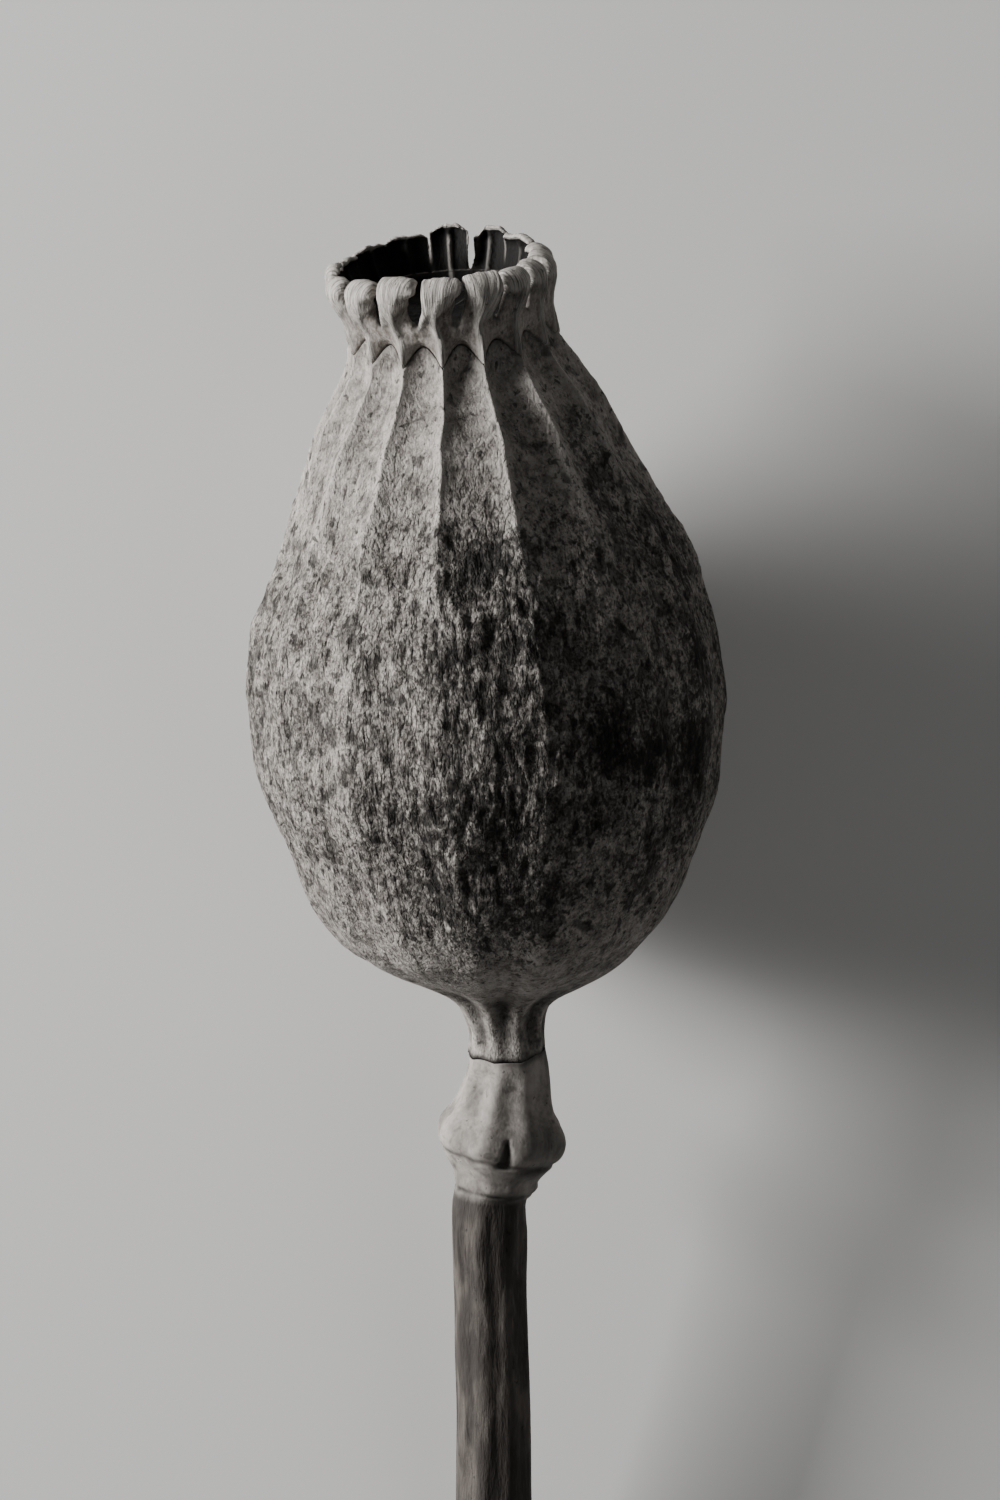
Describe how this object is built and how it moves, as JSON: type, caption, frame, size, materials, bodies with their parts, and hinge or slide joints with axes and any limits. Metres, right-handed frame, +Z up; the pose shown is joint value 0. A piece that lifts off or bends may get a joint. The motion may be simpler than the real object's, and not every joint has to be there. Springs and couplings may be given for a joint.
{
  "type": "dried poppy seed head",
  "caption": "Dried poppy seed head with a lobed crown, ribbed pod, ringed receptacle and a cut length of stem, lying on its side.",
  "frame": {"origin": "middle of the small flat spot under the pod, on the surface that the head rests on", "axes": "+Y along the head's length towards the crown, +Z up, +X to the right with the crown pointing away"},
  "size_m": [0.0379, 0.133, 0.0366],
  "materials": {
    "capsule_skin": "matte",
    "crown_skin": "matte",
    "stem_skin": "matte"
  },
  "bodies": {
    "root": {"capsule": "capsule_skin", "crown": "crown_skin", "stem": "stem_skin"}
  },
  "joints": []
}
